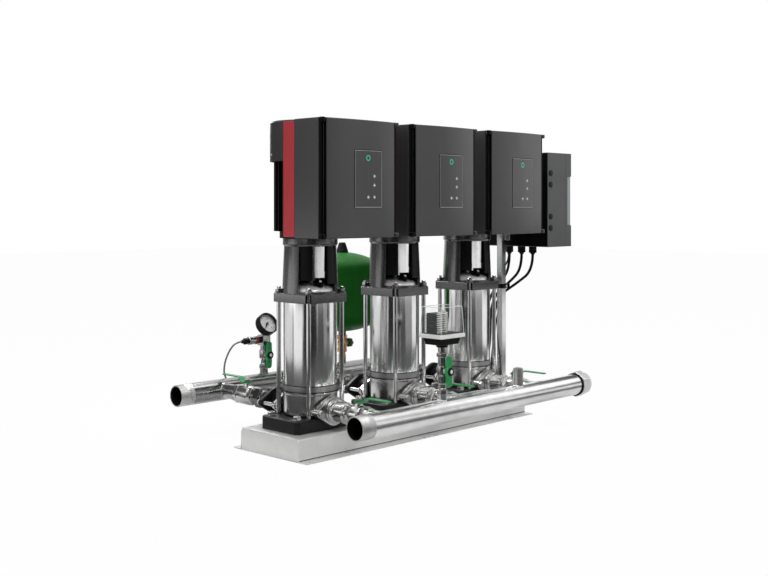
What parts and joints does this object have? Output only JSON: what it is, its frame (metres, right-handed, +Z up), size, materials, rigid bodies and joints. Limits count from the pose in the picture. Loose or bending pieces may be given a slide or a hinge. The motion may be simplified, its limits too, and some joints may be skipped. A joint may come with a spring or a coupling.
{
  "type": "booster pump set",
  "caption": "Water pressure booster: vertical multistage pumps with speed drives on a base frame, with manifolds, valves, tank, gauge, switch and control cabinet.",
  "frame": {"origin": "centre of the base frame's underside, at the floor", "axes": "+X along the pump row to the control cabinet, +Y to the suction manifold, +Z up"},
  "size_m": [1.1163, 0.8342, 0.85],
  "materials": {
    "galvanised_sheet": "pale galvanised sheet",
    "cast_black": "black painted casting",
    "stainless": "polished stainless steel",
    "stainless_pipe": "brushed stainless tube",
    "plated_steel": "zinc plated steel",
    "head_grey": "dark grey painted casting",
    "motor_black": "black painted aluminium",
    "fan_cover_grey": "dark grey moulding",
    "drive_red": "red moulding",
    "drive_grey": "dark grey fine grained moulding",
    "panel_film": "dark key film",
    "board_green": "circuit board",
    "handle_green": "green lever coating",
    "tank_green": "green enamel",
    "black_plastic": "black moulding",
    "brass": "turned brass",
    "dial_white": "printed white dial",
    "white_plastic": "white moulding",
    "clear_cover": "clear cover",
    "works_grey": "grey contact block",
    "cabinet_grey": "mid grey cabinet enamel",
    "display_blue": "pale display panel",
    "cable_black": "black sheath",
    "cable_grey": "grey sheath"
  },
  "bodies": {
    "frame": {"base_frame": "galvanised_sheet", "pump_feet": "cast_black", "pump_casings": "stainless", "outer_sleeves": "stainless", "chamber_stacks": "stainless_pipe", "tie_rods": "plated_steel", "motor_stools": "head_grey", "head_covers": "stainless", "vent_plugs": "black_plastic", "coupling_guards": "stainless", "motor_housings": "motor_black", "fan_covers": "fan_cover_grey", "drive_bases": "drive_red", "drive_boards": "board_green", "drive_panels": "panel_film", "drive_covers": "drive_grey", "check_valves": "stainless_pipe", "suction_flanges": "cast_black", "pipe_unions": "plated_steel", "flange_and_foot_bolts": "plated_steel", "ball_valves": "plated_steel", "suction_manifold": "stainless_pipe", "discharge_manifold": "stainless_pipe", "manifold_caps": "plated_steel", "branch_cocks": "plated_steel", "pressure_gauge": "black_plastic", "gauge_dial": "dial_white", "gauge_glass": "clear_cover", "pressure_transmitter": "plated_steel", "pressure_switch": "black_plastic", "switch_rim": "white_plastic", "switch_works": "works_grey", "switch_cover": "clear_cover", "diaphragm_tank": "tank_green", "tank_cap": "black_plastic", "tank_valve": "brass", "cabinet_post": "galvanised_sheet", "cabinet_body": "cabinet_grey", "cabinet_fittings": "black_plastic", "power_cables": "cable_black", "sensor_cable": "cable_grey"},
    "pump_rotor_1": {"pump_rotor_1": "stainless"},
    "check_poppet_1": {"check_poppet_1": "stainless"},
    "discharge_lever_1": {"discharge_lever_1": "handle_green"},
    "suction_lever_1": {"suction_lever_1": "handle_green"},
    "pump_rotor_2": {"pump_rotor_2": "stainless"},
    "check_poppet_2": {"check_poppet_2": "stainless"},
    "discharge_lever_2": {"discharge_lever_2": "handle_green"},
    "suction_lever_2": {"suction_lever_2": "handle_green"},
    "pump_rotor_3": {"pump_rotor_3": "stainless"},
    "check_poppet_3": {"check_poppet_3": "stainless"},
    "discharge_lever_3": {"discharge_lever_3": "handle_green"},
    "suction_lever_3": {"suction_lever_3": "handle_green"},
    "gauge_cock_handle": {"gauge_cock_handle": "handle_green"},
    "switch_cock_handle": {"switch_cock_handle": "handle_green"},
    "gauge_needle": {"gauge_needle": "black_plastic"},
    "tank_valve_knob": {"tank_valve_knob": "handle_green"},
    "cabinet_door": {"cabinet_door": "cabinet_grey", "controller_panel": "display_blue"},
    "cabinet_latch": {"cabinet_latch": "black_plastic"}
  },
  "joints": [
    {"name": "pump_1_shaft", "type": "hinge", "parent": "frame", "child": "pump_rotor_1", "pos_m": [-0.32, 0, 0.5], "axis": [0, 0, 1], "continuous": true},
    {"name": "check_valve_1_slide", "type": "slide", "parent": "frame", "child": "check_poppet_1", "axis": [0, -1, 0], "range_m": [0, 0.008], "stiffness_N_per_m": 150},
    {"name": "discharge_valve_1_turn", "type": "hinge", "parent": "frame", "child": "discharge_lever_1", "pos_m": [-0.32, -0.181, 0.15], "axis": [0, 0, 1], "range_deg": [0, 90]},
    {"name": "suction_valve_1_turn", "type": "hinge", "parent": "frame", "child": "suction_lever_1", "pos_m": [-0.32, 0.259, 0.15], "axis": [0, 0, 1], "range_deg": [0, 90]},
    {"name": "pump_2_shaft", "type": "hinge", "parent": "frame", "child": "pump_rotor_2", "pos_m": [0, 0, 0.5], "axis": [0, 0, 1], "continuous": true},
    {"name": "check_valve_2_slide", "type": "slide", "parent": "frame", "child": "check_poppet_2", "axis": [0, -1, 0], "range_m": [0, 0.008], "stiffness_N_per_m": 150},
    {"name": "discharge_valve_2_turn", "type": "hinge", "parent": "frame", "child": "discharge_lever_2", "pos_m": [0, -0.181, 0.15], "axis": [0, 0, 1], "range_deg": [0, 90]},
    {"name": "suction_valve_2_turn", "type": "hinge", "parent": "frame", "child": "suction_lever_2", "pos_m": [0, 0.259, 0.15], "axis": [0, 0, 1], "range_deg": [0, 90]},
    {"name": "pump_3_shaft", "type": "hinge", "parent": "frame", "child": "pump_rotor_3", "pos_m": [0.32, 0, 0.5], "axis": [0, 0, 1], "continuous": true},
    {"name": "check_valve_3_slide", "type": "slide", "parent": "frame", "child": "check_poppet_3", "axis": [0, -1, 0], "range_m": [0, 0.008], "stiffness_N_per_m": 150},
    {"name": "discharge_valve_3_turn", "type": "hinge", "parent": "frame", "child": "discharge_lever_3", "pos_m": [0.32, -0.181, 0.15], "axis": [0, 0, 1], "range_deg": [0, 90]},
    {"name": "suction_valve_3_turn", "type": "hinge", "parent": "frame", "child": "suction_lever_3", "pos_m": [0.32, 0.259, 0.15], "axis": [0, 0, 1], "range_deg": [0, 90]},
    {"name": "gauge_cock_turn", "type": "hinge", "parent": "frame", "child": "gauge_cock_handle", "pos_m": [-0.16, 0.36115, 0.19315], "axis": [0, 1, 0], "range_deg": [0, 90]},
    {"name": "switch_cock_turn", "type": "hinge", "parent": "frame", "child": "switch_cock_handle", "pos_m": [-0.133, -0.31315, 0.21115], "axis": [0, 1, 0], "range_deg": [0, 90]},
    {"name": "gauge_needle_turn", "type": "hinge", "parent": "frame", "child": "gauge_needle", "pos_m": [-0.16, 0.36599, 0.2839], "axis": [0, 0.866, -0.5], "range_deg": [0, 270], "stiffness_Nm_per_rad": 0.002},
    {"name": "tank_valve_turn", "type": "hinge", "parent": "frame", "child": "tank_valve_knob", "pos_m": [0.185, 0.38115, 0.197], "axis": [1, 0, 0], "range_deg": [0, 90]},
    {"name": "cabinet_door_hinge", "type": "hinge", "parent": "frame", "child": "cabinet_door", "pos_m": [0.60315, 0.134, 0.65], "axis": [0, 0, 1], "range_deg": [0, 110]},
    {"name": "cabinet_latch_turn", "type": "hinge", "parent": "cabinet_door", "child": "cabinet_latch", "pos_m": [0.635, -0.133, 0.542], "axis": [1, 0, 0], "range_deg": [0, 90]}
  ]
}
